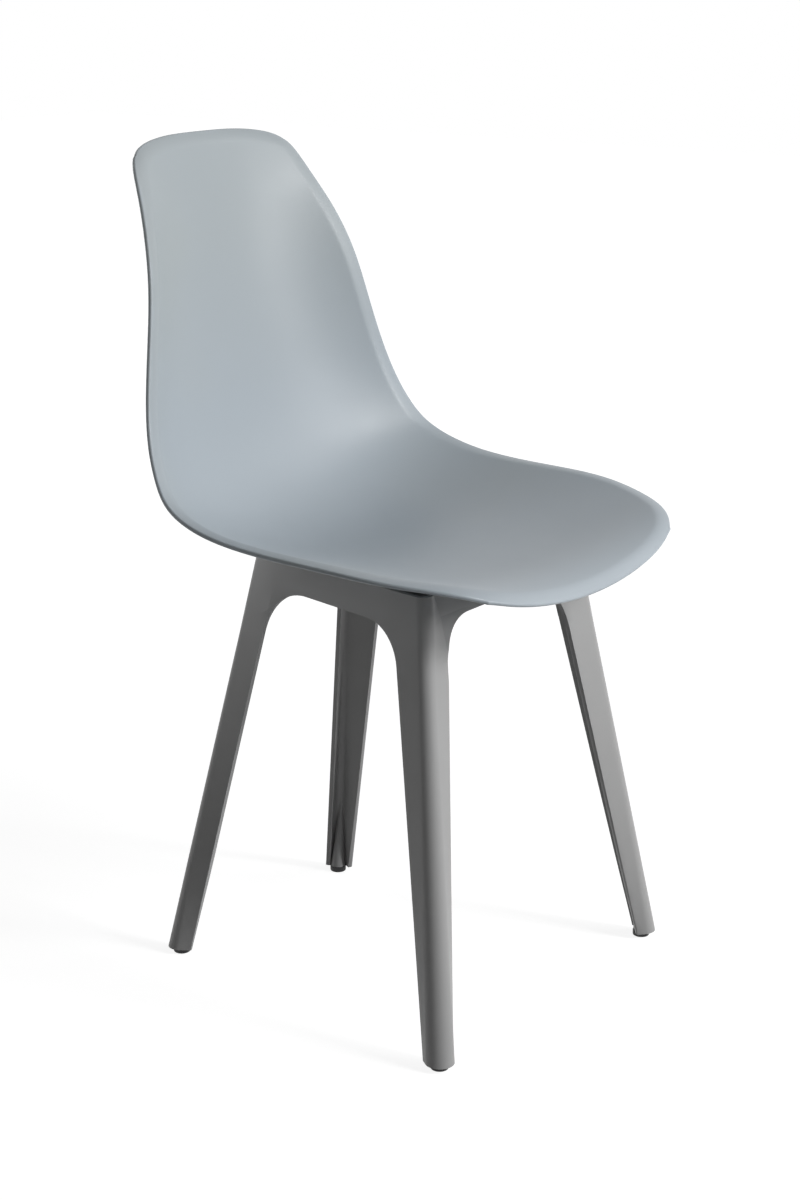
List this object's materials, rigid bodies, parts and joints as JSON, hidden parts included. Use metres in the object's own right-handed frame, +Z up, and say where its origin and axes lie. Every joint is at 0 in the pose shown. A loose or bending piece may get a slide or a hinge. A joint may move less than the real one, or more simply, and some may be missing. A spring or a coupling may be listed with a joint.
{
  "type": "moulded plastic shell chair",
  "caption": "Armless side chair: a thin moulded plastic shell, seat and back in one, screwed to a moulded plastic frame with splayed open legs.",
  "frame": {"origin": "on the floor, under the middle of the chair's outline", "axes": "+Z up; the seat faces -Y; +X is the sitter's left"},
  "size_m": [0.4572, 0.4746, 0.8161],
  "materials": {
    "seat_plastic": "fine matte grain, blue-grey",
    "frame_plastic": "fine matte grain, neutral grey",
    "glide_plastic": "smooth matte, black",
    "fastener_steel": "zinc plated",
    "insert_brass": "plain turned"
  },
  "bodies": {
    "root": {"seat_shell": "seat_plastic", "leg_frame": "frame_plastic", "glide_front_left": "glide_plastic", "glide_front_right": "glide_plastic", "glide_rear_left": "glide_plastic", "glide_rear_right": "glide_plastic", "insert_front_left": "insert_brass", "insert_front_right": "insert_brass", "insert_rear_left": "insert_brass", "insert_rear_right": "insert_brass", "seat_screw_front_left": "fastener_steel", "seat_screw_front_right": "fastener_steel", "seat_screw_rear_left": "fastener_steel", "seat_screw_rear_right": "fastener_steel", "washer_front_left": "fastener_steel", "washer_front_right": "fastener_steel", "washer_rear_left": "fastener_steel", "washer_rear_right": "fastener_steel"}
  },
  "joints": []
}
